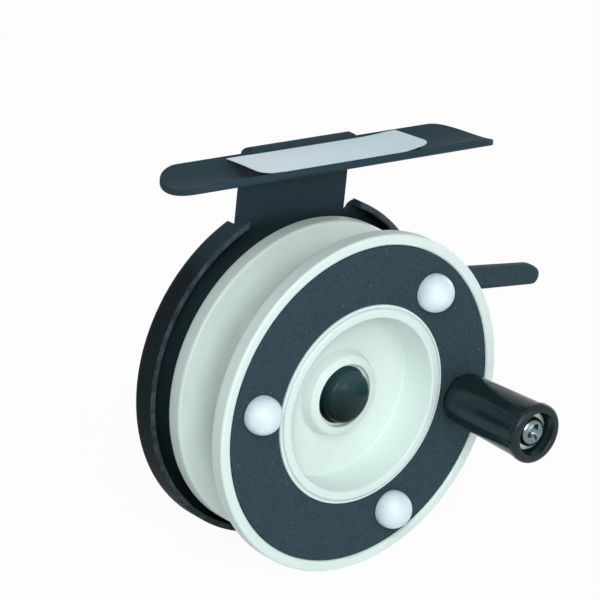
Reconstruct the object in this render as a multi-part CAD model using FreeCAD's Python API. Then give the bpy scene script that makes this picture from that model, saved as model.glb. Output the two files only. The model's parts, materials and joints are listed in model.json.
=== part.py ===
import FreeCAD, Part
import math
import os

# Ice fishing reel: a stamped steel frame with a rod foot, a moulded spool on a fixed spindle,
# a crank knob on the spool's face, and a sprung trigger that lifts a brake shoe off the spool.
#
# Millimetres. +X is right, +Z is up and the reel's front faces -Y. The origin is on the spool's
# axis, in the plane of the frame's flat back. A "depth" is a distance in front of that plane.

# Stamped frame
sheet = 1.2
pan_radius = 32.9
pan_rise = 0.8
frame_shift = 0.5
pan_depth = 5.65
fold_radius = 1.8
rim_edge_chamfer = 0.3
center_boss_radius = 6.0
center_boss_rise = 1.5
stem_width = 25.15
stem_corner = 1.2
relief_width = 1.2
relief_lean = 35.0
relief_drop = 5.7
relief_depth = 3.0
relief_corner = 0.55
rim_to_stem = 0.5
rim_end_round = 0.9

# Rod foot
foot_length = 74.4
foot_width = 15.15
foot_edge_round = 0.35
foot_trough = 2.07
foot_tilt = 5.2
foot_height = 43.93
foot_setback = 2.0
bend_above_foot = 0.42
bend_past_foot_slope = 5.0
bend_tail = 2.4

# Label on its foam tape
label_length = 40.0
label_width = 10.5
label_thickness = 0.3
label_corner = 1.2
label_below_chord = 0.35
tape_end_inset = 0.8
tape_side_inset = 2.45

# Spool
flange_radius = 32.5
rear_flange_radius = 30.3
rear_flange_edge = 3.2
front_flange_edge = 3.15
groove_width = 12.05
groove_core_radius = 21.0
groove_draft = 10.4
groove_fillet = 3.0
spool_gap = 1.05
flange_round = 0.5
rear_flange_round = 0.6
outer_lip_width = 2.1
ring_recess = 0.2
inner_lip_radius = 19.15
inner_lip_rise = 0.57
bead_width = 0.42
bead_groove = 0.3
bead_drop = 0.35
bead_round = 0.15
inner_lip_round = 0.35
cup_radius = 16.75
cup_draft = 0.36
cup_depth = 7.77
cup_floor = 2.0
cup_corner_round = 0.35
core_corner_round = 0.9
core_wall = 3.0
drum_radius = 13.0
drum_wall = 1.6
drum_to_pan = 1.2
hub_radius = 5.8
hub_boss_radius = 8.4
hub_boss_top_radius = 7.6
hub_boss_height = 2.2
hub_boss_crown = 0.54
hub_boss_fillet = 0.45
cap_ledge_radius = 6.05
cap_ledge_depth = 1.0
cap_ledge_round = 0.2
cap_bore_radius = 5.55
hub_seat_below_floor = 0.7

# Face ring and its rivets
ring_thickness = 1.2
ring_clearance = 0.1
ring_edge_round = 0.15
rivet_count = 3
first_rivet_angle = 54.0
rivet_pitch_inset = 0.4
rivet_head_radius = 3.6
rivet_head_height = 4.5
rivet_shank_radius = 1.5
rivet_shank_length = 3.0

# Spindle, bushings, washers, nut and cap
spindle_radius = 2.5
spindle_thread_radius = 2.0
spindle_neck_radius = 2.0
spindle_head_radius = 4.0
spindle_head_thickness = 1.1
spindle_collar_radius = 4.0
spindle_collar_thickness = 0.8
bushing_radius = 3.6
bushing_flange_radius = 4.8
bushing_flange_thickness = 0.6
bushing_length = 5.0
thrust_washer_radius = 4.8
thrust_washer_thickness = 0.5
rivet_washer_radius = 5.0
end_play = 0.1
running_clearance = 0.05
nut_across_flats = 7.0
nut_thickness = 2.2
thread_past_nut = 0.4
spindle_end_round = 0.4
cap_gap = 0.15
cap_flange_below_boss = 0.7
cap_body_radius = 5.0
cap_proud = 2.3
cap_dome_rise = 1.1
cap_edge_round = 1.4
cap_to_washer = 0.3

# Crank knob, its post and its fasteners
handle_angle = -6.0
knob_length = 20.65
knob_base_radius = 4.9
knob_end_radius = 5.55
knob_lip_radius = 5.78
knob_lip_length = 1.7
knob_base_round = 1.1
knob_lip_round = 0.85
knob_mouth_round = 0.35
counterbore_radius = 4.1
counterbore_depth = 2.8
post_radius = 2.5
post_tail_radius = 1.7
post_head_radius = 2.8
post_head_thickness = 0.8
post_pocket_clearance = 0.2
handle_washer_radius = 4.4
handle_washer_thickness = 0.3
knob_base_gap = 0.15
knob_washer_radius = 3.6
knob_washer_thickness = 0.6
screw_radius = 1.5
screw_length = 8.0
screw_head_radius = 2.85
screw_head_height = 1.6
screw_head_round = 1.5
cross_width = 1.1
cross_span = 3.8
cross_depth = 1.35
thread_clearance = 0.02

# Trigger lever, its pivot and spring
pivot_x = 20.0
pivot_z = 12.65
lever_angle = -5.1
lever_thickness = 1.6
lever_edge_round = 0.35
lever_length = 42.6
lever_root_width = 5.2
lever_tip_width = 4.25
lever_tip_slant = 2.6
lever_tip_flat = 2.75
lever_tip_round_top = 5.7
lever_tip_round_end = 1.8
lever_tip_round_bottom = 1.6
lever_hub_radius = 4.6
lever_inner_width = 4.0
lever_travel = 8.0
slot_clearance = 0.9
slot_corner = 0.8
pivot_boss_radius = 4.3
pivot_boss_rise = 0.9
pivot_neck_radius = 1.5
pivot_shoulder_radius = 2.2
pivot_head_radius = 3.0
pivot_head_thickness = 0.8
pivot_head_round = 0.4
lever_washer_thickness = 0.3
spring_wire_radius = 0.25
spring_coil_radius = 3.9
spring_half_turns = 3
spring_to_spool = 0.4
spring_foot_angle = -50.0
spring_foot_length = 15.0
spring_post_along_foot = 11.5
spring_hook_reach = 11.0
spring_hook_bend = 0.8
spring_touch = 0.03
post_pin_radius = 1.0
post_collar_radius = 1.7
post_collar_thickness = 0.8

# Brake shoe
shoe_half_angle = 20.0
shoe_clearance = 0.05
shoe_width = 3.6
shoe_thickness = 1.6
shoe_carrier_setback = 0.6
shoe_carrier_lip = 0.6
shoe_rivet_radius = 0.9
shoe_rivet_head_radius = 1.5
shoe_rivet_head_thickness = 0.4

# Depths along the spool's axis, from the back face forward
rear_flange_back = pan_depth + spool_gap
rear_flange_front = rear_flange_back + rear_flange_edge
front_flange_back = rear_flange_front + groove_width
front_face = front_flange_back + front_flange_edge
ring_front = front_face - ring_recess
ring_back = ring_front - ring_thickness
cup_lip_front = ring_front + inner_lip_rise
cup_floor_front = cup_lip_front - cup_depth
cup_floor_back = cup_floor_front - cup_floor
boss_top = cup_floor_front + hub_boss_height + hub_boss_crown
hub_seat = cup_floor_front - hub_seat_below_floor
center_boss_front = center_boss_rise + sheet
collar_front = center_boss_front + spindle_collar_thickness
rear_washer_front = collar_front + thrust_washer_thickness
rear_bushing_back = rear_washer_front + end_play
hub_rear = rear_bushing_back + bushing_flange_thickness
shaft_shoulder = hub_seat + bushing_flange_thickness + end_play
front_washer_front = shaft_shoulder + thrust_washer_thickness
nut_front = front_washer_front + nut_thickness
spindle_front = nut_front + thread_past_nut
cap_front = boss_top + cap_proud
cap_flange_front = boss_top - cap_flange_below_boss

# Depths of the crank knob's stack
handle_washer_front = ring_front + handle_washer_thickness
knob_back = handle_washer_front + knob_base_gap
knob_front = knob_back + knob_length
counterbore_floor = knob_front - counterbore_depth
post_front = counterbore_floor + running_clearance
knob_washer_front = post_front + knob_washer_thickness
post_head_back = ring_back - post_head_thickness

# Depths of the trigger's stack
pivot_boss_front = sheet + pivot_boss_rise
lever_back = pivot_boss_front + lever_washer_thickness + running_clearance
lever_front = lever_back + lever_thickness
pivot_head_back = lever_front + running_clearance
pivot_head_front = pivot_head_back + pivot_head_thickness
spring_back = lever_front + running_clearance + spring_wire_radius
spring_front = rear_flange_back - spring_to_spool - spring_wire_radius
shoe_front = lever_front + shoe_thickness

# Radii and heights that follow from the sizes above
seat_radius = (foot_trough ** 2 + (foot_width / 2) ** 2) / (2 * foot_trough)
foot_middle_depth = foot_setback + foot_width / 2
foot_back_height = foot_height - foot_width / 2 * math.sin(math.radians(foot_tilt))
bend_crest = foot_back_height + bend_above_foot
bend_height = bend_crest - fold_radius
foot_edge_slope = math.degrees(math.asin(foot_width / 2 / seat_radius)) - foot_tilt
bend_turn = 90 + foot_edge_slope + bend_past_foot_slope
ring_outer_radius = flange_radius - outer_lip_width - ring_clearance
ring_inner_radius = inner_lip_radius + ring_clearance
handle_pitch_radius = (ring_inner_radius + ring_outer_radius) / 2
rivet_pitch_radius = handle_pitch_radius - rivet_pitch_inset
core_back_drop = (rear_flange_radius - groove_core_radius) * math.tan(math.radians(groove_draft))
core_front_drop = (flange_radius - groove_core_radius) * math.tan(math.radians(groove_draft))
pivot_reach = math.hypot(pivot_x, pivot_z)
pivot_bearing = math.degrees(math.atan2(pivot_z, pivot_x))
shoe_angle = pivot_bearing - math.degrees(math.acos(drum_radius / pivot_reach))
shoe_inner_radius = drum_radius + shoe_clearance
shoe_outer_radius = shoe_inner_radius + shoe_width
shoe_rivet_pitch = (shoe_inner_radius + shoe_carrier_setback + shoe_outer_radius) / 2


def front_view(depth):
    """Place (x, z) outline points in the plane at one depth."""
    return lambda x, z: FreeCAD.Vector(x, -depth, z)


def half_section(radius, depth):
    """Place (radius, depth) outline points beside the spool's axis."""
    return FreeCAD.Vector(radius, -depth, 0)


def side_view(x):
    """Place (depth, z) outline points in the plane at one x."""
    return lambda depth, z: FreeCAD.Vector(x, -depth, z)


def rounded_corner(before, corner, after, radius):
    """Start, middle and end of the arc that rounds one corner and is tangent to both sides."""
    back = (before - corner).normalize()
    ahead = (after - corner).normalize()
    half = back.getAngle(ahead) / 2
    reach = radius / math.tan(half)
    inward = (back + ahead).normalize()
    middle = corner + inward * (radius / math.sin(half) - radius)
    return corner + back * reach, middle, corner + ahead * reach


def rounds_that_fit(flat, corners):
    """Each corner's rounding radius, made smaller where two roundings would meet on a side."""
    radii = [corner[2] if len(corner) == 3 else 0 for corner in corners]
    reaches = []
    sides = []
    for i, corner in enumerate(flat):
        following = flat[(i + 1) % len(flat)]
        inside_angle = (flat[i - 1] - corner).getAngle(following - corner)
        reaches.append(radii[i] / math.tan(inside_angle / 2))
        sides.append(corner.distanceToPoint(following))
    shares = []
    for i, side in enumerate(sides):
        needed = reaches[i] + reaches[(i + 1) % len(flat)]
        shares.append(side / needed if needed > side + 1e-9 else 1)
    return [radius * min(shares[i - 1], shares[i]) for i, radius in enumerate(radii)]


def outline(corners, place):
    """Closed face through corners (a, b) or (a, b, rounding radius)."""
    flat = [FreeCAD.Vector(corner[0], corner[1], 0) for corner in corners]
    radii = rounds_that_fit(flat, corners)
    arcs = []
    for i, corner in enumerate(corners):
        if len(corner) == 3:
            arcs.append(rounded_corner(flat[i - 1], flat[i], flat[(i + 1) % len(flat)], radii[i]))
        else:
            arcs.append((flat[i], flat[i], flat[i]))
    edges = []
    for i, (start, middle, end) in enumerate(arcs):
        if len(corners[i]) == 3:
            ends = [place(p.x, p.y) for p in (start, middle, end)]
            edges.append(Part.Arc(ends[0], ends[1], ends[2]).toShape())
        following = arcs[(i + 1) % len(arcs)][0]
        if end.distanceToPoint(following) > 1e-6:
            edges.append(Part.LineSegment(place(end.x, end.y), place(following.x, following.y)).toShape())
    return Part.Face(Part.Wire(edges))


def solid_of(shape):
    """The shape as a clean solid that encloses a positive volume."""
    solid = shape.removeSplitter()
    if solid.Volume < 0:
        solid.reverse()
    return solid


def turned(corners):
    """Solid of revolution about the spool's axis from a (radius, depth) half section."""
    face = outline(corners, half_section)
    return solid_of(face.revolve(FreeCAD.Vector(0, 0, 0), FreeCAD.Vector(0, 1, 0), 360))


def plate(corners, back, front):
    """Flat plate with an (x, z) outline between two depths."""
    return solid_of(outline(corners, front_view(back)).extrude(FreeCAD.Vector(0, back - front, 0)))


def disc(radius, back, front, x=0, z=0):
    """Round bar along the depth between two depths."""
    base = FreeCAD.Vector(x, -back, z)
    return Part.makeCylinder(radius, front - back, base, FreeCAD.Vector(0, -1, 0))


def washer(hole, radius, back, front, x=0, z=0):
    """Flat ring between two depths."""
    return disc(radius, back, front, x, z).cut(disc(hole, back, front, x, z))


def polar(radius, angle):
    """(x, z) of a point at a radius and an angle from +X towards +Z."""
    return radius * math.cos(math.radians(angle)), radius * math.sin(math.radians(angle))


def moved(shape, x, z):
    """The shape carried from the spool's axis to a parallel axis at (x, z)."""
    return shape.translated(FreeCAD.Vector(x, 0, z))


def pressed_boss(shape, x, z, radius, rise):
    """Round boss pressed forward out of the pan's floor, hollow behind, with 45 degree sides."""
    def frustum(back):
        base = FreeCAD.Vector(x, -back, z)
        return Part.makeCone(radius + rise, radius, rise, base, FreeCAD.Vector(0, -1, 0))
    return shape.fuse(frustum(sheet)).cut(frustum(0))


def rivet_angles():
    """Angles of the face ring's evenly spaced rivets."""
    return [first_rivet_angle + step * 360 / rivet_count for step in range(rivet_count)]


# Frame

def pan():
    """Round pan with a flat floor and a folded rim, its centre a little above and left of the axis."""
    inside = pan_radius - sheet
    return moved(turned([
        (0, 0),
        (pan_radius, 0, fold_radius),
        (pan_radius, pan_depth - rim_edge_chamfer),
        (pan_radius - rim_edge_chamfer, pan_depth),
        (inside + rim_edge_chamfer, pan_depth),
        (inside, pan_depth - rim_edge_chamfer),
        (inside, sheet, fold_radius - sheet),
        (0, sheet),
    ]), -frame_shift, pan_rise)


def stem_sides():
    """x of the stem's left and right edges."""
    return -frame_shift - stem_width / 2, -frame_shift + stem_width / 2


def stem():
    """Flat stem that rises behind the spool and folds forward into the foot."""
    left, right = stem_sides()

    def bend_point(radius, turn):
        depth = fold_radius - radius * math.cos(math.radians(turn))
        return FreeCAD.Vector(left, -depth, bend_height + radius * math.sin(math.radians(turn)))

    def bend_arc(radius):
        return Part.Arc(*[bend_point(radius, turn) for turn in (0, bend_turn / 2, bend_turn)]).toShape()

    inner = fold_radius - sheet
    root = pan_radius / 2
    tail_direction = math.radians(bend_turn)
    tail = FreeCAD.Vector(0, -math.sin(tail_direction), math.cos(tail_direction)) * bend_tail
    outer_end = bend_point(fold_radius, bend_turn)
    inner_end = bend_point(inner, bend_turn)
    at_left = side_view(left)
    edges = [
        Part.LineSegment(at_left(0, root), bend_point(fold_radius, 0)).toShape(),
        bend_arc(fold_radius),
        Part.LineSegment(outer_end, outer_end + tail).toShape(),
        Part.LineSegment(outer_end + tail, inner_end + tail).toShape(),
        Part.LineSegment(inner_end + tail, inner_end).toShape(),
        bend_arc(inner),
        Part.LineSegment(bend_point(inner, 0), at_left(sheet, root)).toShape(),
        Part.LineSegment(at_left(sheet, root), at_left(0, root)).toShape(),
    ]
    band = Part.Face(Part.Wire(edges)).extrude(FreeCAD.Vector(stem_width, 0, 0))
    silhouette = [(left, root), (right, root), (right, bend_crest, stem_corner), (left, bend_crest, stem_corner)]
    return band.common(plate(silhouette, 0, foot_middle_depth))


def foot_axis_cylinder(radius):
    """Round bar along X about the axis that the foot's trough is curved round, not yet tilted."""
    center = FreeCAD.Vector(-foot_length / 2, -foot_middle_depth, foot_height + seat_radius - foot_trough)
    return Part.makeCylinder(radius, foot_length, center, FreeCAD.Vector(1, 0, 0))


def foot_plan(length, width, corner, bottom, top):
    """Upright prism over the foot with rounded corners, between two heights."""
    def place(x, across):
        return FreeCAD.Vector(x, across - foot_middle_depth, bottom)
    corners = [(side * length / 2, end * width / 2, corner) for side, end in ((-1, -1), (1, -1), (1, 1), (-1, 1))]
    return outline(corners, place).extrude(FreeCAD.Vector(0, 0, top - bottom))


def tilt_foot(shape):
    """Tilt a piece of the foot so that its front edge is the higher one."""
    chord = FreeCAD.Vector(0, -foot_middle_depth, foot_height)
    return shape.rotated(chord, FreeCAD.Vector(1, 0, 0), -foot_tilt)


def curved_edges(shape):
    """Every edge of the foot but its upright seams."""
    return [edge for edge in shape.Edges if edge.BoundBox.XLength > foot_edge_round]


def foot():
    """Trough-shaped foot with full round ends."""
    trough = foot_axis_cylinder(seat_radius + sheet).cut(foot_axis_cylinder(seat_radius))
    below_trough = foot_height - foot_trough - 2 * sheet
    blank = foot_plan(foot_length, foot_width, foot_width / 2, below_trough, foot_height + sheet)
    plain = trough.common(blank)
    return tilt_foot(plain.makeFillet(foot_edge_round, curved_edges(plain)))


def stem_opening():
    """Gap in the rim that the stem stands in, with the rim's two front corners rounded."""
    near = stem_width / 2 + rim_to_stem
    far = near + 2 * rim_end_round
    front = pan_depth + sheet
    corners = [
        (-near, sheet), (near, sheet), (near, pan_depth, rim_end_round), (far, pan_depth),
        (far, front), (-far, front), (-far, pan_depth), (-near, pan_depth, rim_end_round),
    ]
    face = outline(corners, lambda x, depth: FreeCAD.Vector(x - frame_shift, -depth, 0))
    return face.extrude(FreeCAD.Vector(0, 0, pan_rise + pan_radius + sheet))


def lever_slot():
    """Notch in the rim, open at the front, that the trigger passes and moves in."""
    lift = (pan_radius - pivot_x) * math.tan(math.radians(lever_travel))
    fall = (pan_radius - pivot_x) * math.tan(math.radians(lever_angle))
    half = lever_root_width / 2
    low = pivot_z + fall - half - slot_clearance
    high = pivot_z + lift + half + slot_clearance
    back = lever_back - slot_clearance / 2
    ahead = pan_depth + sheet
    corners = [(back, low, slot_corner), (ahead, low), (ahead, high), (back, high, slot_corner)]
    return outline(corners, side_view(pivot_x)).extrude(FreeCAD.Vector(pan_radius, 0, 0))


def frame():
    """Pan, stem and foot, stamped from one sheet."""
    over = pan_rise + pan_radius + sheet
    body = pan().cut(stem_opening()).fuse(stem()).fuse(foot())
    relief_bottom = pan_rise + pan_radius - relief_drop
    flare = (over - relief_bottom) * math.tan(math.radians(relief_lean))
    for side, near in zip((-1, 1), stem_sides()):
        far = near + side * relief_width
        body = body.cut(plate([
            (near, relief_bottom, relief_corner),
            (far, relief_bottom, relief_corner),
            (far + side * flare, over),
            (near, over),
        ], 0, relief_depth))
    body = pressed_boss(body, 0, 0, center_boss_radius, center_boss_rise)
    body = pressed_boss(body, pivot_x, pivot_z, pivot_boss_radius, pivot_boss_rise)
    spring_pin_x, spring_pin_z = spring_post_place()
    body = body.cut(lever_slot())
    body = body.cut(disc(spindle_neck_radius, 0, center_boss_front))
    body = body.cut(disc(pivot_neck_radius, 0, pivot_boss_front, pivot_x, pivot_z))
    body = body.cut(disc(post_pin_radius, 0, sheet, spring_pin_x, spring_pin_z))
    return solid_of(body)


def foot_label():
    """Bare stiff label that bridges the foot's trough."""
    top = foot_height - label_below_chord + label_thickness
    label = foot_plan(label_length, label_width, label_corner, top - label_thickness, top)
    return solid_of(tilt_foot(label))


def label_foam_tape():
    """Foam tape that fills the trough under the label."""
    top = foot_height - label_below_chord
    length = label_length - 2 * tape_end_inset
    width = label_width - 2 * tape_side_inset
    block = foot_plan(length, width, label_corner, foot_height - foot_trough - sheet, top)
    return solid_of(tilt_foot(block.common(foot_axis_cylinder(seat_radius))))


# Spindle and what it carries

def spindle():
    """Shouldered spindle, riveted in the centre boss and flush with the frame's back."""
    return turned([
        (0, 0),
        (spindle_head_radius, 0),
        (spindle_head_radius, spindle_head_thickness),
        (spindle_neck_radius, spindle_head_thickness),
        (spindle_neck_radius, center_boss_front),
        (spindle_collar_radius, center_boss_front),
        (spindle_collar_radius, collar_front),
        (spindle_radius, collar_front),
        (spindle_radius, shaft_shoulder),
        (spindle_thread_radius, shaft_shoulder),
        (spindle_thread_radius, spindle_front, spindle_end_round),
        (0, spindle_front),
    ])


def spindle_rivet_washer():
    """Washer between the spindle's riveted head and the centre boss."""
    return washer(spindle_neck_radius, rivet_washer_radius, spindle_head_thickness, center_boss_rise)


def rear_thrust_washer():
    """Washer that the spool's rear bushing runs against."""
    return washer(spindle_radius + running_clearance, thrust_washer_radius, collar_front, rear_washer_front)


def front_thrust_washer():
    """Washer on the spindle's front shoulder that keeps the spool on."""
    hole = spindle_thread_radius + running_clearance
    return washer(hole, thrust_washer_radius, shaft_shoulder, front_washer_front)


def spindle_nut():
    """Thin hexagon nut on the spindle's thread."""
    corner_radius = nut_across_flats / 2 / math.cos(math.radians(30))
    corners = [polar(corner_radius, 60 * step) for step in range(6)]
    hexagon = plate(corners, front_washer_front, nut_front)
    return hexagon.cut(disc(spindle_thread_radius + thread_clearance, front_washer_front, nut_front))


def hub_cap():
    """Domed cap pressed over the nut inside the spool's boss, with a flange in the boss's bore."""
    dome_radius = (cap_body_radius ** 2 + cap_dome_rise ** 2) / (2 * cap_dome_rise)
    back = front_washer_front + cap_to_washer
    dome = Part.makeSphere(dome_radius, FreeCAD.Vector(0, dome_radius - cap_front, 0))
    shell = disc(cap_body_radius, back, cap_front).common(dome)
    rim = [edge for edge in shell.Edges if abs(edge.BoundBox.YMin + cap_front - cap_dome_rise) < 1e-4
           and edge.BoundBox.YLength < 1e-4]
    shell = shell.makeFillet(cap_edge_round, rim)
    shell = shell.fuse(disc(cap_bore_radius - cap_gap, back, cap_flange_front))
    pocket_radius = nut_across_flats / 2 / math.cos(math.radians(30)) + running_clearance
    return solid_of(shell.cut(disc(pocket_radius, back, spindle_front + end_play)))


# Spool and what turns with it

def spool():
    """Moulded spool: two flanges, line groove, front cup with its boss, hub tube and brake drum."""
    core_inner = groove_core_radius - core_wall
    ring_seat = flange_radius - outer_lip_width
    bead_inner = inner_lip_radius - bead_width
    lip_outer = bead_inner - bead_groove
    bead_front = cup_lip_front - bead_drop
    body = turned([
        (core_inner, rear_flange_back),
        (rear_flange_radius, rear_flange_back, rear_flange_round),
        (rear_flange_radius, rear_flange_front, rear_flange_round),
        (groove_core_radius, rear_flange_front + core_back_drop, groove_fillet),
        (groove_core_radius, front_flange_back - core_front_drop, groove_fillet),
        (flange_radius, front_flange_back, rear_flange_round),
        (flange_radius, front_face, flange_round),
        (ring_seat, front_face, flange_round),
        (ring_seat, ring_back),
        (inner_lip_radius, ring_back),
        (inner_lip_radius, bead_front, bead_round),
        (bead_inner, bead_front),
        (bead_inner, bead_front - bead_groove),
        (lip_outer, bead_front - bead_groove),
        (lip_outer, cup_lip_front, inner_lip_round),
        (cup_radius, cup_lip_front, inner_lip_round),
        (cup_radius - cup_draft, cup_floor_front, cup_corner_round),
        (hub_boss_radius, cup_floor_front, hub_boss_fillet),
        (hub_boss_top_radius, boss_top - hub_boss_crown, hub_boss_crown),
        (cap_ledge_radius, boss_top, cap_ledge_round),
        (cap_ledge_radius, boss_top - cap_ledge_depth),
        (cap_bore_radius, boss_top - cap_ledge_depth),
        (cap_bore_radius, hub_seat),
        (bushing_radius, hub_seat),
        (bushing_radius, hub_rear),
        (hub_radius, hub_rear),
        (hub_radius, cup_floor_back, core_corner_round),
        (drum_radius - drum_wall, cup_floor_back, core_corner_round),
        (drum_radius - drum_wall, sheet + drum_to_pan),
        (drum_radius, sheet + drum_to_pan),
        (drum_radius, cup_floor_back, core_corner_round),
        (core_inner, cup_floor_back, core_corner_round),
    ])
    for angle in rivet_angles():
        x, z = polar(rivet_pitch_radius, angle)
        body = body.cut(disc(rivet_shank_radius, ring_front - rivet_shank_length, ring_front, x, z))
    x, z = polar(handle_pitch_radius, handle_angle)
    pocket = post_head_radius + post_pocket_clearance
    body = body.cut(disc(pocket, post_head_back - post_pocket_clearance, ring_front, x, z))
    return solid_of(body)


def bushing(flange_back, flange_front, barrel_back, barrel_front):
    """Flanged plain bearing between the spool's hub and the spindle."""
    bore = spindle_radius + running_clearance
    flange = washer(bore, bushing_flange_radius, flange_back, flange_front)
    barrel = washer(bore, bushing_radius, barrel_back, barrel_front)
    return solid_of(flange.fuse(barrel))


def rear_bushing():
    """Bushing pressed into the rear end of the hub."""
    return bushing(rear_bushing_back, hub_rear, hub_rear, hub_rear + bushing_length)


def front_bushing():
    """Bushing pressed into the front end of the hub."""
    return bushing(hub_seat, hub_seat + bushing_flange_thickness, hub_seat - bushing_length, hub_seat)


def face_ring():
    """Sheet ring let into the spool's face."""
    ring = turned([
        (ring_inner_radius, ring_back),
        (ring_outer_radius, ring_back),
        (ring_outer_radius, ring_front, ring_edge_round),
        (ring_inner_radius, ring_front, ring_edge_round),
    ])
    for angle in rivet_angles():
        x, z = polar(rivet_pitch_radius, angle)
        ring = ring.cut(disc(rivet_shank_radius, ring_back, ring_front, x, z))
    x, z = polar(handle_pitch_radius, handle_angle)
    return solid_of(ring.cut(disc(post_tail_radius, ring_back, ring_front, x, z)))


def ring_rivets():
    """Ball-headed rivets that hold the ring on the spool."""
    ball_center = ring_front + rivet_head_height - rivet_head_radius
    rivets = []
    for angle in rivet_angles():
        x, z = polar(rivet_pitch_radius, angle)
        ball = Part.makeSphere(rivet_head_radius, FreeCAD.Vector(x, -ball_center, z))
        head = ball.common(disc(2 * rivet_head_radius, ring_front, ring_front + rivet_head_height, x, z))
        shank = disc(rivet_shank_radius, ring_front - rivet_shank_length, ring_front, x, z)
        rivets.append(solid_of(head.fuse(shank)))
    return Part.makeCompound(rivets)


def on_handle(shape):
    """Carry a piece from the spool's axis to the crank knob's axis."""
    x, z = polar(handle_pitch_radius, handle_angle)
    return moved(shape, x, z)


def handle_post():
    """Hollow post that the knob turns on, riveted through the ring."""
    post = turned([
        (0, post_head_back),
        (post_head_radius, post_head_back),
        (post_head_radius, ring_back),
        (post_tail_radius, ring_back),
        (post_tail_radius, ring_front),
        (post_radius, ring_front),
        (post_radius, post_front),
        (0, post_front),
    ])
    tapped = screw_radius + thread_clearance
    hole_end = post_front - screw_length
    return on_handle(post.cut(disc(tapped, hole_end, post_front)))


def handle_washer():
    """Washer between the ring and the knob."""
    hole = post_radius + running_clearance
    return on_handle(washer(hole, handle_washer_radius, ring_front, handle_washer_front))


def handle_knob():
    """Tapered knob with a rounded lip and a counterbore at its free end."""
    bore = post_radius + running_clearance
    lip_back = knob_front - knob_lip_length
    return on_handle(turned([
        (bore, knob_back),
        (knob_base_radius, knob_back, knob_base_round),
        (knob_end_radius, lip_back),
        (knob_lip_radius, lip_back + knob_mouth_round),
        (knob_lip_radius, knob_front, knob_lip_round),
        (counterbore_radius, knob_front, knob_mouth_round),
        (counterbore_radius, counterbore_floor),
        (bore, counterbore_floor),
    ]))


def knob_washer():
    """Washer under the screw's head that keeps the knob on its post."""
    hole = screw_radius + running_clearance
    return on_handle(washer(hole, knob_washer_radius, post_front, knob_washer_front))


def knob_screw():
    """Cross-recessed pan head screw in the end of the post."""
    head_front = knob_washer_front + screw_head_height
    screw = turned([
        (0, knob_washer_front + running_clearance - screw_length),
        (screw_radius, knob_washer_front + running_clearance - screw_length),
        (screw_radius, knob_washer_front),
        (screw_head_radius, knob_washer_front),
        (screw_head_radius, head_front, screw_head_round),
        (0, head_front),
    ])
    tip = FreeCAD.Vector(0, cross_depth - head_front, 0)
    taper = Part.makeCone(cross_width / 2, cross_span / 2, cross_depth, tip, FreeCAD.Vector(0, -1, 0))
    for span_x, span_z in ((cross_span, cross_width), (cross_width, cross_span)):
        x = span_x / 2
        z = span_z / 2
        wing = plate([(-x, -z), (x, -z), (x, z), (-x, z)], head_front - cross_depth, head_front)
        screw = screw.cut(taper.common(wing))
    return on_handle(solid_of(screw))


# Trigger, brake shoe and spring

def along_lever(along, across):
    """(x, z) of a point beside the lever's outer arm, measured from the pivot."""
    angle = math.radians(lever_angle)
    x = pivot_x + along * math.cos(angle) - across * math.sin(angle)
    z = pivot_z + along * math.sin(angle) + across * math.cos(angle)
    return x, z


def sector(inner, outer, middle_angle, half_angle, back, front):
    """Part of a flat ring about the spool's axis, centred on one angle."""
    def arc(radius, turns):
        points = [front_view(back)(*polar(radius, middle_angle + turn * half_angle)) for turn in turns]
        return Part.Arc(*points).toShape()

    outer_arc = arc(outer, (-1, 0, 1))
    inner_arc = arc(inner, (1, 0, -1))
    first_end, last_end = [front_view(back)(*polar(outer, middle_angle + turn * half_angle)) for turn in (-1, 1)]
    first_in, last_in = [front_view(back)(*polar(inner, middle_angle + turn * half_angle)) for turn in (-1, 1)]
    sides = [Part.LineSegment(last_end, last_in).toShape(), Part.LineSegment(first_in, first_end).toShape()]
    edges = [outer_arc, sides[0], inner_arc, sides[1]]
    return solid_of(Part.Face(Part.Wire(edges)).extrude(FreeCAD.Vector(0, back - front, 0)))


def shoe_rivet_place():
    """(x, z) of the rivet that holds the shoe on the lever."""
    return polar(shoe_rivet_pitch, shoe_angle)


def trigger_lever():
    """Bell-crank lever: finger arm, hub on the pivot and inner arm with the shoe's carrier."""
    half_root = lever_root_width / 2
    half_tip = lever_tip_width / 2
    arm = plate([
        along_lever(0, -half_root),
        along_lever(lever_length, -half_tip) + (lever_tip_round_bottom,),
        along_lever(lever_length, lever_tip_flat - half_tip) + (lever_tip_round_end,),
        along_lever(lever_length - lever_tip_slant, half_tip) + (lever_tip_round_top,),
        along_lever(0, half_root),
    ], lever_back, lever_front)
    arm = arm.makeFillet(lever_edge_round, [edge for edge in arm.Edges if edge.BoundBox.YLength < lever_edge_round])
    hub = disc(lever_hub_radius, lever_back, lever_front, pivot_x, pivot_z)
    carrier_in = shoe_inner_radius + shoe_carrier_setback
    carrier_out = shoe_outer_radius + shoe_carrier_lip
    carrier = sector(carrier_in, carrier_out, shoe_angle, shoe_half_angle, lever_back, lever_front)
    shoe_x, shoe_z = shoe_rivet_place()
    across = math.degrees(math.atan2(shoe_z - pivot_z, shoe_x - pivot_x)) + 90
    side_x, side_z = polar(lever_inner_width / 2, across)
    inner_arm = plate([
        (pivot_x - side_x, pivot_z - side_z),
        (pivot_x + side_x, pivot_z + side_z),
        (shoe_x + side_x, shoe_z + side_z),
        (shoe_x - side_x, shoe_z - side_z),
    ], lever_back, lever_front)
    lever = arm.fuse(hub).fuse(carrier).fuse(inner_arm)
    lever = lever.cut(disc(pivot_shoulder_radius + running_clearance, lever_back, lever_front, pivot_x, pivot_z))
    return solid_of(lever.cut(disc(shoe_rivet_radius, lever_back, lever_front, shoe_x, shoe_z)))


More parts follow.
